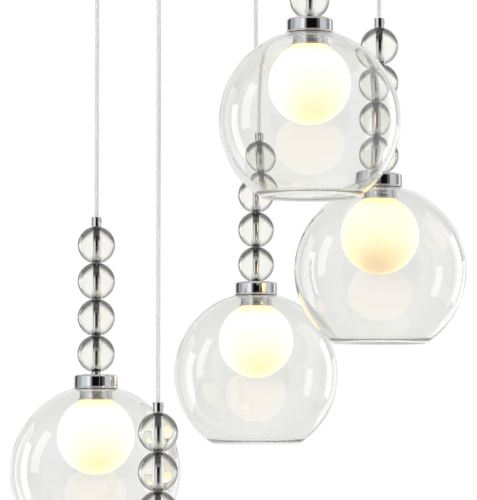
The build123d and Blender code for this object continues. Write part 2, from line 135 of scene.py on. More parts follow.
# Glow of the opal balls: how bright, the tint of its reflections, where it is most yellow as
# shares of the ball's own box (across, out from the middle, up), and its colours outward from
# there
OPAL_LEVEL = 1.15
MIRRORED_GLOW = (1.5, 1.12, 0.84)
GLOW_REACH = (0.09, 0.20, 0.31, 0.45, 0.60)
PALE_GLOW = (
    (0.55, 0.30, 0.10),
    ((1.0, 0.86, 0.51), (1.0, 0.89, 0.60), (1.0, 0.92, 0.71), (1.0, 0.95, 0.84), (1.0, 0.97, 0.94)),
)
AMBER_GLOW = (
    (0.44, 0.27, 0.07),
    ((0.83, 0.60, 0.37), (0.89, 0.70, 0.41), (0.93, 0.81, 0.50), (0.97, 0.90, 0.63), (0.98, 0.94, 0.76)),
)

# Ground mouth of the clear globe: how far up it goes as shares of the globe's own height, how
# much it still lets through, and how rough it is
GROUND_MOUTH = (0.010, 0.014)
GROUND_CLEARNESS = 0.35
GROUND_ROUGHNESS = 0.3

# Polished plate
PLATE_COLOUR = (0.93, 0.935, 0.945)
PLATE_ROUGHNESS = (0.012, 0.035)

# Fineness of the turned meshes
FINE_TURN = 144
SMALL_TURN = 72
ARC_STEP = 2.5
ROUND_STEPS = 4
SHARP_TURN = math.radians(38)
ON_AXIS = 1e-6

# Studio: the floor and where it fades out, the world's level in plain light, and the place that
# the lights point at
FLOOR_HEIGHT = -2.4
FLOOR_RADIUS = 12.0
FLOOR_SIDES = 96
FLOOR_FADE = (0.25 * FLOOR_RADIUS, 0.9 * FLOOR_RADIUS)
FILL_LEVEL = 0.95
LIT_MIDDLE = (0.0, 0.0, -0.65)

# Faces of glass that light crosses on its way through one piece
FACES_OF_ONE = 2.0

# Lights that aren't themselves seen: place, width and height, and brightness
LIGHTS = {
    "left_box": ((-2.0, -0.7, -0.4), (0.7, 1.7), 2.6),
    "right_box": ((2.0, -0.7, -0.4), (0.7, 1.7), 2.6),
    "front_box": ((0.4, -2.6, 0.7), (1.5, 1.5), 1.6),
}

# Softboxes that only the glass mirrors, by the kind of piece that shows them: bearings from the
# camera's side, sines of the heights above the level, and brightness
SOFTBOX_DISTANCE = 4.0
SOFTBOXES = {
    "clear_globe": (
        ((-95, -79), (-0.08, 0.62), 2.7),
        ((-116, -102), (-0.44, 0.30), 3.0),
        ((-136, -113), (-0.90, 0.45), 1.3),
        ((70, 126), (-0.90, 0.90), 0.9),
        ((76, 88), (-0.60, 0.06), 2.4),
        ((122, 134), (-0.27, 0.37), 3.6),
        ((136, 153), (-0.55, 0.10), 1.0),
    ),
    "cut_balls": (
        ((-129, -114), (-0.35, 0.45), 4.0),
    ),
}


def add_object(name, data):
    piece = bpy.data.objects.new(name, data)
    bpy.context.scene.collection.objects.link(piece)
    return piece


def make_camera():
    camera = add_object("camera", bpy.data.cameras.new("camera"))
    camera.data.lens = CAMERA_LENS
    camera.data.clip_start = CAMERA_NEAR
    camera.location = EYE
    camera.rotation_euler = (math.radians(90 + CAMERA_TILT), 0, 0)
    bpy.context.scene.camera = camera


def foot_of(node):
    """The lowest point on the axis of a round CAD node, and the node's height."""
    low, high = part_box(node)
    return Vector(((low.x + high.x) / 2, (low.y + high.y) / 2, low.z)), high.z - low.z


def straight_curve(name, top, bottom, radius, material):
    """A taut round curve between two points, one smooth spline."""
    curve = bpy.data.curves.new(name, "CURVE")
    curve.dimensions = "3D"
    curve.bevel_depth = radius
    curve.bevel_resolution = CORD_FINENESS
    curve.use_fill_caps = True
    end = (bottom - top).normalized() * STRAIGHT_END
    route = [top, top + end, bottom - end, bottom]
    spline = curve.splines.new("NURBS")
    spline.points.add(len(route) - 1)
    for point, place in zip(spline.points, route):
        point.co = (*place, 1)
    spline.order_u = 3
    spline.use_endpoint_u = True
    curve.materials.append(material)
    return add_object(name, curve)


def make_cord(name, jacket, core):
    """The clear jacket of a cord and the pale core in it."""
    bottom, height = foot_of(f"cord_{name}")
    top = bottom + Vector((0, 0, height))
    radius = CORD_DIAMETER / 2
    cord = straight_curve(f"clear_cord_{name}", top, bottom, radius, jacket)
    inner = straight_curve(f"cord_core_{name}", top, bottom, CORE_SHARE * radius, core)
    for piece in (cord, inner):
        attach(piece, f"cord_{name}")
    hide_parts(f"cord_{name}")


def arc(radius, start, end, height=0.0):
    """Points of an arc about a middle on the axis. Angles are in degrees above the level."""
    steps = max(2, math.ceil(abs(end - start) / ARC_STEP))
    angles = [math.radians(start + (end - start) * step / steps) for step in range(steps + 1)]
    return [(radius * math.cos(angle), height + radius * math.sin(angle)) for angle in angles]


def rounded(before, corner, after, radius):
    """The points of a small round in place of a corner between two stretches."""
    corner = Vector(corner)
    to_before = (Vector(before) - corner).normalized()
    to_after = (Vector(after) - corner).normalized()
    half = to_before.angle(to_after) / 2
    middle = corner + (to_before + to_after).normalized() * radius / math.sin(half)
    reach = radius / math.tan(half)
    first = corner + to_before * reach - middle
    last = corner + to_after * reach - middle
    start = math.atan2(first.y, first.x)
    turn = math.remainder(math.atan2(last.y, last.x) - start, math.tau)
    angles = [start + turn * step / ROUND_STEPS for step in range(ROUND_STEPS + 1)]
    return [(middle.x + radius * math.cos(a), middle.y + radius * math.sin(a)) for a in angles]


def softened(outline, rounds):
    """The outline with a round of the given radius at each of the numbered corners."""
    points = []
    for index, corner in enumerate(outline):
        if index in rounds:
            after = outline[(index + 1) % len(outline)]
            points += rounded(outline[index - 1], corner, after, rounds[index])
        else:
            points.append(corner)
    return points


def edged(outline, sharp=()):
    """The outline with every corner rounded, but for those listed as sharp."""
    corners = [index for index in range(len(outline)) if index not in sharp]
    return softened(outline, dict.fromkeys(corners, METAL_EDGE))


def turn_into(mesh, outline, place, turns):
    """Adds a closed outline of (radius, height) points, turned about a vertical axis."""
    rings = []
    for radius, height in outline:
        count = turns if radius > ON_AXIS else 1
        angles = [math.tau * step / turns for step in range(count)]
        rings.append([mesh.verts.new((place[0] + radius * math.cos(angle),
                                      place[1] + radius * math.sin(angle),
                                      place[2] + height)) for angle in angles])
    for ring, following in zip(rings, rings[1:] + rings[:1]):
        if len(ring) + len(following) == 2:
            continue
        for step in range(turns):
            turned_on = (step + 1) % turns
            corners = [ring[step % len(ring)], ring[turned_on % len(ring)],
                       following[turned_on % len(following)], following[step % len(following)]]
            mesh.faces.new(list(dict.fromkeys(corners)))


def finished(name, mesh, material, body, node):
    """A shaded piece from a mesh, in place of a CAD node."""
    bmesh.ops.recalc_face_normals(mesh, faces=mesh.faces)
    for face in mesh.faces:
        face.smooth = True
    for edge in mesh.edges:
        if edge.is_manifold and edge.calc_face_angle() > SHARP_TURN:
            edge.smooth = False
    data = bpy.data.meshes.new(name)
    mesh.to_mesh(data)
    mesh.free()
    data.materials.append(material)
    piece = add_object(name, data)
    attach(piece, body)
    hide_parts(node)


def turned_piece(name, outline, place, turns, material, body, node):
    """A piece from one outline, turned about its own axis."""
    mesh = bmesh.new()
    turn_into(mesh, outline, place, turns)
    finished(name, mesh, material, body, node)


def globe_outline(rim_below):
    """The blown shell, from the hole at the top down to the thick lip of the mouth and back."""
    inside = GLOBE_RADIUS - GLOBE_WALL
    mouth = math.asin(-rim_below / GLOBE_RADIUS)
    outer = arc(GLOBE_RADIUS, math.degrees(math.acos(GLOBE_HOLE_RADIUS / GLOBE_RADIUS)),
                math.degrees(mouth))
    lip = []
    for step in range(LIP_STEPS):
        share = step / LIP_STEPS
        radius = inside - (LIP_THICKNESS - GLOBE_WALL) * (1 - share**3)
        angle = mouth + share * LIP_LENGTH / GLOBE_RADIUS
        lip.append((radius * math.cos(angle), radius * math.sin(angle)))
    inner = arc(inside, math.degrees(mouth + LIP_LENGTH / GLOBE_RADIUS),
                math.degrees(math.acos(GLOBE_HOLE_RADIUS / inside)))
    outline = outer + lip + inner
    rims = {len(outer) - 1: GLOBE_RIM_ROUND, len(outer): GLOBE_RIM_ROUND}
    holes = {0: GLOBE_RIM_ROUND / 2, len(outline) - 1: GLOBE_RIM_ROUND / 2}
    return softened(outline, {**rims, **holes})


def opal_outline(neck_top):
    """The blown ball with its straight neck, open at the top, about the middle of the ball."""
    neck = GALLERY_RADIUS - GALLERY_WALL - SEAT_GAP
    inside = OPAL_RADIUS - OPAL_WALL
    bore = neck - OPAL_WALL
    outer = arc(OPAL_RADIUS, -90, math.degrees(math.acos(neck / OPAL_RADIUS)))
    inner = arc(inside, math.degrees(math.acos(bore / inside)), -90)
    mouth = [(neck, neck_top), (bore, neck_top)]
    outer[0] = (0.0, -OPAL_RADIUS)
    inner[-1] = (0.0, -inside)
    corners = {len(outer): OPAL_NECK_ROUND, len(outer) + 1: OPAL_NECK_ROUND}
    return softened(outer + mouth + inner, corners)


def balls_outline(height):
    """Four crystal balls on one bore, one on top of another, from the lowest one up."""
    pitch = height / BALL_COUNT
    edge = math.degrees(math.asin(pitch / 2 / BALL_RADIUS))
    outer = [(BALL_RADIUS * math.cos(math.radians(edge)), 0.0)]
    for count in range(BALL_COUNT):
        outer += arc(BALL_RADIUS, -edge, edge, (count + 0.5) * pitch)[1:]
    outline = outer + [(STEM_HOLE_RADIUS, height), (STEM_HOLE_RADIUS, 0.0)]
    return softened(outline, {0: BALL_ROUND, len(outer) - 1: BALL_ROUND})


def cap_outline(height):
    """A spun cap with a rounded shoulder and a slight flare, from its lower edge up."""
    inside = CAP_RADIUS - CAP_WALL
    outline = [
        (inside, 0.0),
        (CAP_RADIUS + CAP_FLARE, 0.0),
        (CAP_RADIUS + CAP_FLARE, CAP_FLARE),
        (CAP_RADIUS, CAP_FLARE_HEIGHT),
        (CAP_RADIUS, height),
        (STEM_HOLE_RADIUS, height),
        (STEM_HOLE_RADIUS, height - CAP_WALL),
        (inside, height - CAP_WALL),
    ]
    rounds = {1: METAL_EDGE, 2: CAP_FLARE, 3: CAP_FLARE, 4: CAP_ROUND, 7: CAP_ROUND - CAP_WALL}
    return softened(outline, rounds)


def gallery_outline(height, flange_top):
    """A turned cup: disc on the stem, flange under the clear globe, rim over the opal ball."""
    inside = GALLERY_RADIUS - GALLERY_WALL
    outline = [
        (inside, 0.0),
        (RIM_RADIUS, 0.0),
        (RIM_RADIUS, RIM_HEIGHT),
        (GALLERY_RADIUS, RIM_HEIGHT),
        (GALLERY_RADIUS, flange_top - FLANGE_THICKNESS),
        (FLANGE_RADIUS, flange_top - FLANGE_THICKNESS),
        (FLANGE_RADIUS, flange_top),
        (GALLERY_RADIUS, flange_top),
        (GALLERY_RADIUS, height),
        (STEM_HOLE_RADIUS, height),
        (STEM_HOLE_RADIUS, height - GALLERY_WALL),
        (inside, height - GALLERY_WALL),
    ]
    return edged(outline, sharp=(9, 10))


def stem_outline(height):
    bore = STEM_RADIUS - STEM_WALL
    return edged([(bore, 0.0), (STEM_RADIUS, 0.0), (STEM_RADIUS, height), (bore, height)])


def ferrule_outline(height):
    """A turned ferrule, bored from above for the cord and from below for the stem."""
    outline = [
        (STEM_RADIUS, 0.0),
        (FERRULE_RADIUS, 0.0),
        (FERRULE_RADIUS, height),
        (FERRULE_BORE_RADIUS, height),
        (FERRULE_BORE_RADIUS, height - FERRULE_BORE_DEPTH),
        (0.0, height - FERRULE_BORE_DEPTH),
        (0.0, STEM_IN_FERRULE),
        (STEM_RADIUS, STEM_IN_FERRULE),
    ]
    return softened(outline, {1: FERRULE_ROUND, 2: FERRULE_ROUND, 3: FERRULE_ROUND})


def grub_outline():
    """The grub screw along its own axis, with the socket in its outer end."""
    outline = [
        (0.0, -GRUB_LENGTH),
        (GRUB_RADIUS, -GRUB_LENGTH),
        (GRUB_RADIUS, 0.0),
        (GRUB_SOCKET_RADIUS, 0.0),
        (GRUB_SOCKET_RADIUS, -GRUB_SOCKET_DEPTH),
        (0.0, -GRUB_SOCKET_DEPTH),
    ]
    return softened(outline, {2: GRUB_SOCKET_RADIUS / 4})


def make_ferrule(name, plate):
    """The ferrule, with its grub screw in the side towards +X."""
    foot, height = foot_of(f"ferrule_{name}")
    foot.x = foot_of(f"stem_tube_{name}")[0].x
    mesh = bmesh.new()
    turn_into(mesh, ferrule_outline(height), foot, SMALL_TURN)
    screw = bmesh.new()
    turn_into(screw, grub_outline(), (0, 0, 0), SMALL_TURN // 3)
    for vert in screw.verts:
        along, across, up = vert.co.z, vert.co.x, vert.co.y
        side = Vector((FERRULE_RADIUS + GRUB_PROUD + along, across, height - GRUB_BELOW_TOP + up))
        vert.co = foot + side
    held = bpy.data.meshes.new("grub_screw")
    screw.to_mesh(held)
    screw.free()
    mesh.from_mesh(held)
    bpy.data.meshes.remove(held)
    finished(f"chrome_ferrule_{name}", mesh, plate, f"pendant_{name}", f"ferrule_{name}")


def make_globe(name, glass):
    """The clear globe. Gives the middle of its ball."""
    foot, height = foot_of(f"glass_globe_{name}")
    top_from_middle = math.sqrt(GLOBE_RADIUS**2 - GLOBE_HOLE_RADIUS**2)
    rim_below = height - top_from_middle
    middle = foot + Vector((0, 0, rim_below))
    turned_piece(f"clear_globe_{name}", globe_outline(rim_below), middle, FINE_TURN, glass,
                 f"pendant_{name}", f"glass_globe_{name}")
    return middle


def make_opal_ball(name, opal):
    foot, height = foot_of(f"opal_ball_{name}")
    middle = foot + Vector((0, 0, OPAL_RADIUS))
    turned_piece(f"lit_ball_{name}", opal_outline(height - OPAL_RADIUS), middle, FINE_TURN,
                 opal, f"pendant_{name}", f"opal_ball_{name}")


def make_crystal_balls(name, crystal):
    foot, height = foot_of(f"crystal_balls_{name}")
    turned_piece(f"cut_balls_{name}", balls_outline(height), foot, FINE_TURN, crystal,
                 f"pendant_{name}", f"crystal_balls_{name}")


def make_cap(name, plate):
    foot, height = foot_of(f"cap_{name}")
    turned_piece(f"chrome_cap_{name}", cap_outline(height), foot, FINE_TURN, plate,
                 f"pendant_{name}", f"cap_{name}")


def make_gallery(name, globe_middle, plate):
    """The gallery, whose flange lies just under the clear globe's inner face."""
    foot, height = foot_of(f"gallery_{name}")
    flange_from_middle = math.sqrt((GLOBE_RADIUS - GLOBE_WALL)**2 - FLANGE_RADIUS**2) - SEAT_GAP
    flange_top = globe_middle.z + flange_from_middle - foot.z
    turned_piece(f"chrome_gallery_{name}", gallery_outline(height, flange_top), foot, FINE_TURN,
                 plate, f"pendant_{name}", f"gallery_{name}")


def make_stem(name, shaded):
    """The stem tube, with shade painted on it by its place in the string of balls."""
    foot, height = foot_of(f"stem_tube_{name}")
    turned_piece(f"stem_{name}", stem_outline(height), foot, SMALL_TURN, shaded,
                 f"pendant_{name}", f"stem_tube_{name}")


def new_material(name):
    """A material, its node tree and its shader."""
    material = bpy.data.materials.new(name)
    material.use_nodes = True
    return material, material.node_tree, material.node_tree.nodes["Principled BSDF"]


def set_inputs(node, values):
    for name, value in values.items():
        node.inputs[name].default_value = value


def coordinates(tree, kind="Object"):
    return tree.nodes.new("ShaderNodeTexCoord").outputs[kind]


def axes(tree, kind="Object"):
    """The X, Y and Z of coordinates, each by its name."""
    split = tree.nodes.new("ShaderNodeSeparateXYZ")
    tree.links.new(coordinates(tree, kind), split.inputs["Vector"])
    return split.outputs


def stretched(tree, scale):
    """Object coordinates, scaled by a different amount each way."""
    mapping = tree.nodes.new("ShaderNodeMapping")
    mapping.inputs["Scale"].default_value = scale
    tree.links.new(coordinates(tree), mapping.inputs["Vector"])
    return mapping.outputs["Vector"]


def noise(tree, vector, scale, detail=3.0):
    texture = tree.nodes.new("ShaderNodeTexNoise")
    set_inputs(texture, {"Scale": scale, "Detail": detail})
    tree.links.new(vector, texture.inputs["Vector"])
    return texture.outputs["Fac"]


def maths(tree, operation, first, second=0.0):
    """One sum of sockets or numbers."""
    node = tree.nodes.new("ShaderNodeMath")
    node.operation = operation
    for socket, value in zip(node.inputs, (first, second)):
        if isinstance(value, (int, float)):
            socket.default_value = value
        else:
            tree.links.new(value, socket)
    return node.outputs["Value"]


def length_of(tree, sides):
    """The length that goes with two or three sides at right angles."""
    squares = [maths(tree, "MULTIPLY", side, side) for side in sides]
    total = squares[0]
    for square in squares[1:]:
        total = maths(tree, "ADD", total, square)
    return maths(tree, "SQRT", total)


def ranged(tree, value, low, high, start=0.3, end=0.7):
    """Low where the value is start, high where it is end, and even in between."""
    node = tree.nodes.new("ShaderNodeMapRange")
    set_inputs(node, {"From Min": start, "From Max": end, "To Min": low, "To Max": high})
    tree.links.new(value, node.inputs["Value"])
    return node.outputs["Result"]


def ramp(tree, value, stops):
    """Colours along a value from 0 to 1. Each stop is a place and a colour."""
    node = tree.nodes.new("ShaderNodeValToRGB")
    elements = node.color_ramp.elements
    while len(elements) < len(stops):
        elements.new(1.0)
    for element, (place, colour) in zip(elements, stops):
        element.position = place
        element.color = (*colour, 1)
    tree.links.new(value, node.inputs["Fac"])
    return node.outputs["Color"]


def grey(level):
    return level, level, level


def mixed(tree, share, first, second, how="MIX"):
    """A mix of two colours, which are sockets or plain colours."""
    node = tree.nodes.new("ShaderNodeMix")
    node.data_type = "RGBA"
    node.blend_type = how
    colours = [socket for socket in node.inputs if socket.type == "RGBA"]
    for socket, value in zip(colours, (first, second)):
        if isinstance(value, tuple):
            socket.default_value = (*value, 1)
        else:
            tree.links.new(value, socket)
    factor = node.inputs[0]
    if isinstance(share, (int, float)):
        factor.default_value = share
    else:
        tree.links.new(share, factor)
    return next(socket for socket in node.outputs if socket.type == "RGBA")


def tinted(tree, colour, tint):
    """One colour times another."""
    return mixed(tree, 1.0, colour, tint, "MULTIPLY")


def bounced(tree, path, kind):
    """1 for light that has bounced off something this way, and 0 for other light."""
    return maths(tree, "MINIMUM", path.outputs[f"{kind} Depth"], 1.0)


def bumped(tree, shader, height, distance, strength):
    bump = tree.nodes.new("ShaderNodeBump")
    set_inputs(bump, {"Distance": distance, "Strength": strength})
    tree.links.new(height, bump.inputs["Height"])
    tree.links.new(bump.outputs["Normal"], shader.inputs["Normal"])


def facing(tree):
    weight = tree.nodes.new("ShaderNodeLayerWeight")
    weight.inputs["Blend"].default_value = 0.5
    return weight.outputs["Facing"]


def clear_glass():
    """Blown glass with slight waves, greyer where it is seen edge on, and ground at its mouth."""
    material, tree, shader = new_material("clear_glass")
    set_inputs(shader, {"IOR": 1.5, "Specular IOR Level": 0.8})
    clear = ranged(tree, axes(tree, "Generated")["Z"], 0.0, 1.0, *GROUND_MOUTH)
    let_through = ranged(tree, clear, GROUND_CLEARNESS, 1.0, 0.0, 1.0)
    tree.links.new(let_through, shader.inputs["Transmission Weight"])
    rough = ranged(tree, clear, GROUND_ROUGHNESS, 0.0, 0.0, 1.0)
    tree.links.new(rough, shader.inputs["Roughness"])
    tint = ramp(tree, facing(tree), [
        (0.0, (0.924, 0.928, 0.912)),
        (0.75, (0.915, 0.918, 0.902)),
        (0.90, (0.87, 0.875, 0.86)),
        (1.0, (0.66, 0.67, 0.665)),
    ])
    tree.links.new(tint, shader.inputs["Base Color"])
    waves = noise(tree, coordinates(tree), scale=22.0, detail=1.0)
    bumped(tree, shader, waves, distance=0.0006, strength=0.35)
    return material


def painted_crystal_shade(tree):
    """Painted shade on a face of crystal, by its own slope and by how much it is seen edge on."""
    normal = axes(tree, "Normal")
    up = normal["Z"]
    to_pole = maths(tree, "SUBTRACT", 1.0, maths(tree, "MULTIPLY", up, up))
    slope = maths(tree, "MULTIPLY", up, to_pole)
    lift = maths(tree, "MAXIMUM", slope, maths(tree, "MULTIPLY", slope, -LOWER_SHADE))
    to_left = maths(tree, "MULTIPLY", normal["X"], -LEFT_SHADE)
    shade = maths(tree, "MULTIPLY", lift, maths(tree, "ADD", to_left, UPPER_SHADE))
    return maths(tree, "MULTIPLY", facing(tree), maths(tree, "ADD", shade, EDGE_SHADE))


def off_bore(tree):
    """0 along the bore down the middle of a piece, and 1 away from it."""
    place = axes(tree, "Generated")
    sides = [maths(tree, "SUBTRACT", place[axis], 0.5) for axis in "XY"]
    return ranged(tree, length_of(tree, sides), 0.0, 1.0, *CLEAR_BORE)


def crystal_glass():
    """Solid polished crystal, with painted shade at its rims, most at the upper left, but not along its
    bore.
    """
    material, tree, shader = new_material("crystal")
    set_inputs(shader, {"Transmission Weight": 1.0, "Roughness": 0.0, "IOR": 1.52})
    shaded = ramp(tree, painted_crystal_shade(tree), [
        (0.0, (0.955, 0.957, 0.90)),
        (0.36, (0.95, 0.95, 0.885)),
        (0.44, (0.50, 0.50, 0.46)),
        (0.53, (0.30, 0.30, 0.29)),
        (0.60, (0.15, 0.15, 0.14)),
        (0.66, (0.04, 0.04, 0.038)),
    ])
    tint = mixed(tree, off_bore(tree), grey(0.99), shaded)
    tree.links.new(tint, shader.inputs["Base Color"])
    waves = noise(tree, coordinates(tree), scale=20.0, detail=1.0)
    bumped(tree, shader, waves, distance=0.0001, strength=0.10)
    return material


def low_glow(tree, place, middle, colours):
    """The glow's colours outward from its most yellow spots, low at the front and the back."""
    across = maths(tree, "SUBTRACT", place["X"], middle[0])
    side = maths(tree, "ABSOLUTE", maths(tree, "SUBTRACT", place["Y"], 0.5))
    along = maths(tree, "SUBTRACT", side, middle[1])
    up = maths(tree, "SUBTRACT", place["Z"], middle[2])
    return ramp(tree, length_of(tree, (across, along, up)), list(zip(GLOW_REACH, colours)))


def opal_glass(name, glow_middle, glow_colours):
    """Lit opal glass: near white, more yellow low down and beside the gallery."""
    material, tree, shader = new_material(name)
    set_inputs(shader, {"Roughness": 0.35, "IOR": 1.45, "Specular IOR Level": 0.3,
                        "Emission Strength": OPAL_LEVEL})
    place = axes(tree, "Generated")
    glow = low_glow(tree, place, glow_middle, glow_colours)
    neck = ramp(tree, place["Z"], [(0.80, grey(1.0)), (0.92, (1.0, 0.94, 0.52))])
    rim = ramp(tree, facing(tree), [(0.86, grey(1.0)), (0.97, (0.86, 0.80, 0.66))])
    path = tree.nodes.new("ShaderNodeLightPath")
    warmth = mixed(tree, bounced(tree, path, "Glossy"), grey(1.0), MIRRORED_GLOW)
    for tint in (neck, rim, warmth):
        glow = tinted(tree, glow, tint)
    tree.links.new(glow, shader.inputs["Emission Color"])
    cloud = noise(tree, coordinates(tree), scale=40.0)
    body = mixed(tree, cloud, (0.20, 0.19, 0.14), (0.18, 0.175, 0.13))
    tree.links.new(body, shader.inputs["Base Color"])
    return material


def chrome(name="chrome"):
    """Polished plate with faint smudges in its gloss."""
    material, tree, shader = new_material(name)
    set_inputs(shader, {"Base Color": (*PLATE_COLOUR, 1), "Metallic": 1.0})
    smudges = noise(tree, coordinates(tree), scale=90.0)
    tree.links.new(ranged(tree, smudges, *PLATE_ROUGHNESS), shader.inputs["Roughness"])
    grain = noise(tree, coordinates(tree), scale=400.0, detail=1.0)
    bumped(tree, shader, grain, distance=0.00001, strength=0.2)
    return material


def stem_chrome():
    """Polished tube with painted shade: darker in the upper half of each ball as the photograph shows
    it.
    """
    material = chrome("stem_chrome")
    tree = material.node_tree
    stem_foot, stem_height = foot_of(f"stem_tube_{PENDANTS[0]}")
    balls_foot, balls_height = foot_of(f"crystal_balls_{PENDANTS[0]}")
    pitch = balls_height / BALL_COUNT
    along = maths(tree, "MULTIPLY", axes(tree, "Generated")["Z"], stem_height / pitch)
    from_foot = maths(tree, "SUBTRACT", along, (balls_foot.z - stem_foot.z) / pitch)
    # Painted shade on the tube: dark over the upper part of each ball, plain plate below
    shade = ramp(tree, maths(tree, "FRACT", from_foot), [
        (0.52, PLATE_COLOUR),
        (0.64, grey(0.06)),
        (0.86, grey(0.03)),
        (0.92, PLATE_COLOUR),
    ])
    tree.links.new(shade, tree.nodes["Principled BSDF"].inputs["Base Color"])
    return material


def canopy_chrome():
    """Polished spun plate: fine rings about the middle of the canopy."""
    material, tree, shader = new_material("canopy_chrome")
    set_inputs(shader, {"Base Color": (0.90, 0.905, 0.915, 1), "Metallic": 1.0})
    place = axes(tree)
    ring = tree.nodes.new("ShaderNodeCombineXYZ")
    tree.links.new(length_of(tree, (place["X"], place["Y"])), ring.inputs["X"])
    rings = noise(tree, ring.outputs["Vector"], scale=900.0, detail=2.0)
    tree.links.new(ranged(tree, rings, 0.03, 0.09), shader.inputs["Roughness"])
    bumped(tree, shader, rings, distance=0.00002, strength=0.15)
    return material


def zinc_steel():
    """Zinc-plated sheet steel, blotchy and faintly brushed."""
    material, tree, shader = new_material("zinc_steel")
    shader.inputs["Metallic"].default_value = 1.0
    blotches = noise(tree, coordinates(tree), scale=120.0, detail=5.0)
    tint = mixed(tree, blotches, (0.54, 0.56, 0.58), (0.70, 0.70, 0.68))
    tree.links.new(tint, shader.inputs["Base Color"])
    brushed = noise(tree, stretched(tree, (1.0, 0.05, 1.0)), scale=1500.0, detail=2.0)
    tree.links.new(ranged(tree, brushed, 0.28, 0.48), shader.inputs["Roughness"])
    bumped(tree, shader, brushed, distance=0.00003, strength=0.3)
    return material


def brass():
    """Turned brass, slightly uneven in colour and gloss."""
    material, tree, shader = new_material("brass")
    shader.inputs["Metallic"].default_value = 1.0
    patches = noise(tree, coordinates(tree), scale=300.0)
    tint = mixed(tree, patches, (0.80, 0.60, 0.27), (0.70, 0.50, 0.20))
    tree.links.new(tint, shader.inputs["Base Color"])
    tree.links.new(ranged(tree, patches, 0.20, 0.38), shader.inputs["Roughness"])
    return material


def moulded(name, light, dark, rough, grain, depth, coat=0.0):
    """A moulded or fired surface with fine grain and slightly uneven colour."""
    material, tree, shader = new_material(name)
    shader.inputs["Coat Weight"].default_value = coat
    patches = noise(tree, coordinates(tree), scale=grain / 8)
    tree.links.new(mixed(tree, patches, light, dark), shader.inputs["Base Color"])
    tree.links.new(ranged(tree, patches, *rough), shader.inputs["Roughness"])
    grains = noise(tree, coordinates(tree), scale=grain)
    bumped(tree, shader, grains, distance=depth, strength=0.4)
    return material


def woven(name, light, dark, pitch, depth):
    """A fine woven sleeve or braid: two sets of slanting threads."""
    material, tree, shader = new_material(name)
    waves = []
    for slant in ((1.0, 1.0, 1.0), (-1.0, -1.0, 1.0)):
        wave = tree.nodes.new("ShaderNodeTexWave")
        wave.bands_direction = "DIAGONAL"
        set_inputs(wave, {"Scale": 1.0 / pitch, "Distortion": 0.4, "Detail": 1.0})
        tree.links.new(stretched(tree, slant), wave.inputs["Vector"])
        waves.append(wave.outputs["Fac"])
    threads = maths(tree, "MAXIMUM", *waves)
    tree.links.new(mixed(tree, threads, dark, light), shader.inputs["Base Color"])
    shader.inputs["Roughness"].default_value = 0.55
    bumped(tree, shader, threads, distance=depth, strength=0.6)
    return material


def jacket_plastic():
    """The clear plastic round a cord."""
    material, tree, shader = new_material("clear_jacket")
    set_inputs(shader, {"Transmission Weight": 0.45, "IOR": 1.45})
    tint = ramp(tree, facing(tree), [
        (0.0, grey(0.96)),
        (0.6, grey(0.95)),
        (1.0, grey(0.80)),
    ])
    tree.links.new(tint, shader.inputs["Base Color"])
    haze = noise(tree, coordinates(tree), scale=40.0, detail=1.0)
    tree.links.new(ranged(tree, haze, 0.05, 0.07), shader.inputs["Roughness"])
    return material


def lamp_glass():
    """The frosted capsule lamp, lit but for its base at the top."""
    material, tree, shader = new_material("lamp_glass")
    set_inputs(shader, {"Roughness": 0.4, "Emission Strength": 1.2})
    height = axes(tree, "Generated")["Z"]
    lit = ramp(tree, height, [(0.66, (1.0, 0.90, 0.68)), (0.72, grey(0.0))])
    tree.links.new(lit, shader.inputs["Emission Color"])
    body = ramp(tree, height, [(0.70, (0.9, 0.88, 0.82)), (0.88, (0.75, 0.74, 0.72))])
    tree.links.new(body, shader.inputs["Base Color"])
    return material


def dress(node, material):
    """Gives a CAD node that stays in view its own material."""
    piece = frame["nodes"][node]
    piece.data.materials.clear()
    piece.data.materials.append(material)


def dress_small_parts(plate):
    """Materials for the canopy and all that is in it, and for the spacer collar."""
    block = moulded("block_plastic", (0.90, 0.90, 0.875), (0.84, 0.84, 0.81), rough=(0.38, 0.55),
                    grain=900.0, depth=0.00003)
    sleeve = woven("lead_sleeve", (0.88, 0.87, 0.84), (0.62, 0.61, 0.58), pitch=0.0012,
                   depth=0.0002)
    steel = zinc_steel()
    dress("canopy_pan", canopy_chrome())
    for node in ("ceiling_bar", "canopy_studs", "grip_locknuts"):
        dress(node, steel)
    for node in ("dome_nuts", "cord_grips", "spacer_collar_a"):
        dress(node, plate)
    dress("earth_screw", brass())
    dress("terminal_block", block)
    dress("canopy_leads", sleeve)


def direction(tree):
    """Where a ray goes: its bearing from the camera's side and its height, both from 0 to 1."""
    ray = axes(tree, "Generated")
    turn = maths(tree, "ARCTAN2", ray["X"], maths(tree, "MULTIPLY", ray["Y"], -1.0))
    azimuth = maths(tree, "ADD", maths(tree, "DIVIDE", turn, math.tau), 0.5)
    height = maths(tree, "ADD", maths(tree, "MULTIPLY", ray["Z"], 0.5), 0.5)
    return azimuth, height


def world_bands(tree, azimuth):
    """What polished surfaces see round the studio, in degrees from the camera's side."""
    bands = (
        (-180, -150, grey(1.0)),
        (-146, -136, grey(0.60)),
        (-129, -115, grey(0.04)),
        (-107, -88, grey(0.36)),
        (-70, -46, (0.66, 0.69, 0.73)),
        (-42, -28, (0.92, 0.94, 0.96)),
        (-24, -19, grey(0.25)),
        (-15, 33, (0.006, 0.005, 0.004)),
        (39, 48, (0.12, 0.11, 0.10)),
        (53, 84, (0.58, 0.61, 0.64)),
        (93, 112, (0.28, 0.29, 0.31)),
        (117, 129, grey(1.0)),
        (134, 146, grey(0.22)),
        (152, 180, grey(1.0)),
    )
    stops = []
    for start, end, colour in bands:
        stops += [(0.5 + start / 360, colour), (0.5 + end / 360, colour)]
    return ramp(tree, azimuth, stops)


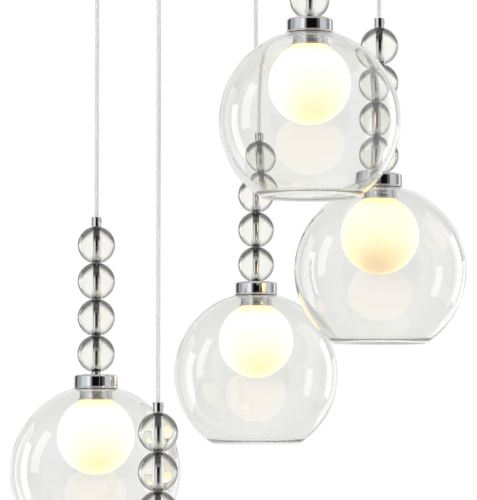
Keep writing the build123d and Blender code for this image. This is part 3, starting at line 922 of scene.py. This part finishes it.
def studio_round(tree, azimuth, height, faces):
    """The bands, white at the sides after one piece of glass, and paler high up and low down."""
    through_one = maths(tree, "COMPARE", faces, FACES_OF_ONE)
    sides = ramp(tree, azimuth, [
        (0.34, grey(1.0)),
        (0.39, grey(0.0)),
        (0.62, grey(0.0)),
        (0.66, grey(1.0)),
    ])
    white_sides = mixed(tree, through_one, grey(0.0), sides)
    bands = mixed(tree, white_sides, world_bands(tree, azimuth), grey(1.0))
    steep = ramp(tree, height, [
        (0.20, grey(1.0)),
        (0.32, grey(0.0)),
        (0.70, grey(0.0)),
        (0.82, grey(0.7)),
    ])
    return mixed(tree, steep, bands, grey(1.0))


def studio_dimmed(tree, height, faces):
    """Two shares of the studio's light: less overhead, and less low down after more glass."""
    overhead = ramp(tree, height, [
        (0.0, grey(0.9)),
        (0.45, grey(1.0)),
        (0.72, grey(0.95)),
        (0.9, grey(0.45)),
    ])
    beyond_one = maths(tree, "SUBTRACT", faces, FACES_OF_ONE)
    through_more = maths(tree, "MINIMUM", maths(tree, "MAXIMUM", beyond_one, 0.0), 1.0)
    low_down = ramp(tree, height, [(0.20, grey(0.03)), (0.36, grey(1.0))])
    return overhead, mixed(tree, through_more, grey(1.0), low_down)


def studio_world():
    """White behind the object and through glass, banded in reflections, soft light elsewhere."""
    world = bpy.data.worlds.new("studio")
    world.use_nodes = True
    world.cycles.sampling_method = "NONE"
    bpy.context.scene.world = world
    tree = world.node_tree
    path = tree.nodes.new("ShaderNodeLightPath")
    faces = path.outputs["Transmission Depth"]
    azimuth, height = direction(tree)
    studio = studio_round(tree, azimuth, height, faces)
    for dimming in studio_dimmed(tree, height, faces):
        studio = tinted(tree, studio, dimming)
    seen = mixed(tree, bounced(tree, path, "Glossy"), grey(1.0), studio)
    light = mixed(tree, bounced(tree, path, "Diffuse"), seen, grey(FILL_LEVEL))
    tree.links.new(light, tree.nodes["Background"].inputs["Color"])


def soft_light(name, place, size, level):
    """A soft box that lights the object but isn't itself seen. Level is its brightness."""
    light = bpy.data.lights.new(name, "AREA")
    light.shape = "RECTANGLE"
    light.size, light.size_y = size
    light.energy = level * math.pi * size[0] * size[1]
    lamp = add_object(name, light)
    lamp.location = place
    lamp.rotation_euler = (Vector(LIT_MIDDLE) - Vector(place)).to_track_quat("-Z", "Y").to_euler()
    lamp.visible_camera = lamp.visible_glossy = lamp.visible_transmission = False
    return lamp


def pieces_of(kind):
    """A collection of the pieces of one kind, for light linking."""
    pieces = bpy.data.collections.new(f"{kind}_pieces")
    for piece in bpy.data.objects:
        if piece.name.startswith(kind):
            pieces.objects.link(piece)
    return pieces


def mirrored_light(kind, sides, heights, level, pieces):
    """A soft box that only the pieces of one kind show in their gloss."""
    bearing = math.radians(sum(sides) / 2)
    rise = sum(heights) / 2
    level_reach = math.sqrt(1 - rise**2) * SOFTBOX_DISTANCE
    place = Vector((level_reach * math.sin(bearing), -level_reach * math.cos(bearing),
                    rise * SOFTBOX_DISTANCE)) + Vector(LIT_MIDDLE)
    width = math.radians(sides[1] - sides[0]) * level_reach
    height = (math.asin(heights[1]) - math.asin(heights[0])) * SOFTBOX_DISTANCE
    lamp = soft_light(f"{kind}_box", place, (width, height), level)
    lamp.visible_glossy = True
    lamp.light_linking.receiver_collection = pieces


def make_lights():
    for name, light in LIGHTS.items():
        soft_light(name, *light)
    for kind, softboxes in SOFTBOXES.items():
        pieces = pieces_of(kind)
        for softbox in softboxes:
            mirrored_light(kind, *softbox, pieces)


def pale_floor():
    """A pale surface that fades out away from its middle."""
    material, tree, shader = new_material("pale_floor")
    set_inputs(shader, {"Base Color": (0.93, 0.93, 0.925, 1), "Roughness": 0.7})
    length = tree.nodes.new("ShaderNodeVectorMath")
    length.operation = "LENGTH"
    tree.links.new(coordinates(tree), length.inputs[0])
    fade = ranged(tree, length.outputs["Value"], 1.0, 0.0, *FLOOR_FADE)
    tree.links.new(fade, shader.inputs["Alpha"])
    return material


def make_floor():
    """A plain pale floor that fades into the white round it, and still takes the shadow."""
    mesh = bmesh.new()
    bmesh.ops.create_circle(mesh, cap_ends=True, segments=FLOOR_SIDES, radius=FLOOR_RADIUS)
    data = bpy.data.meshes.new("floor")
    mesh.to_mesh(data)
    mesh.free()
    data.materials.append(pale_floor())
    floor = add_object("floor", data)
    floor.location.z = FLOOR_HEIGHT


make_camera()
clear_jacket = jacket_plastic()
cord_core = woven("cord_core", (0.98, 0.98, 0.97), (0.965, 0.965, 0.955), pitch=0.0008,
                  depth=0.00002)
for name in PENDANTS:
    make_cord(name, clear_jacket, cord_core)

plate = chrome()
tube = stem_chrome()
glass = clear_glass()
pale_opal = opal_glass("opal_glass", *PALE_GLOW)
amber_opal = opal_glass("amber_opal_glass", *AMBER_GLOW)
crystal = crystal_glass()
ceramic = moulded("ceramic", (0.92, 0.91, 0.885), (0.88, 0.87, 0.84), rough=(0.12, 0.22),
                  grain=700.0, depth=0.00002, coat=0.6)
lit_lamp = lamp_glass()
for name in PENDANTS:
    globe_middle = make_globe(name, glass)
    make_opal_ball(name, amber_opal if name == AMBER_PENDANT else pale_opal)
    make_crystal_balls(name, crystal)
    make_cap(name, plate)
    make_gallery(name, globe_middle, plate)
    make_stem(name, tube)
    make_ferrule(name, plate)
    dress(f"lampholder_{name}", ceramic)
    dress(f"lamp_{name}", lit_lamp)
dress_small_parts(plate)

studio_world()
make_lights()
make_floor()
bpy.context.scene.view_settings.view_transform = "Standard"
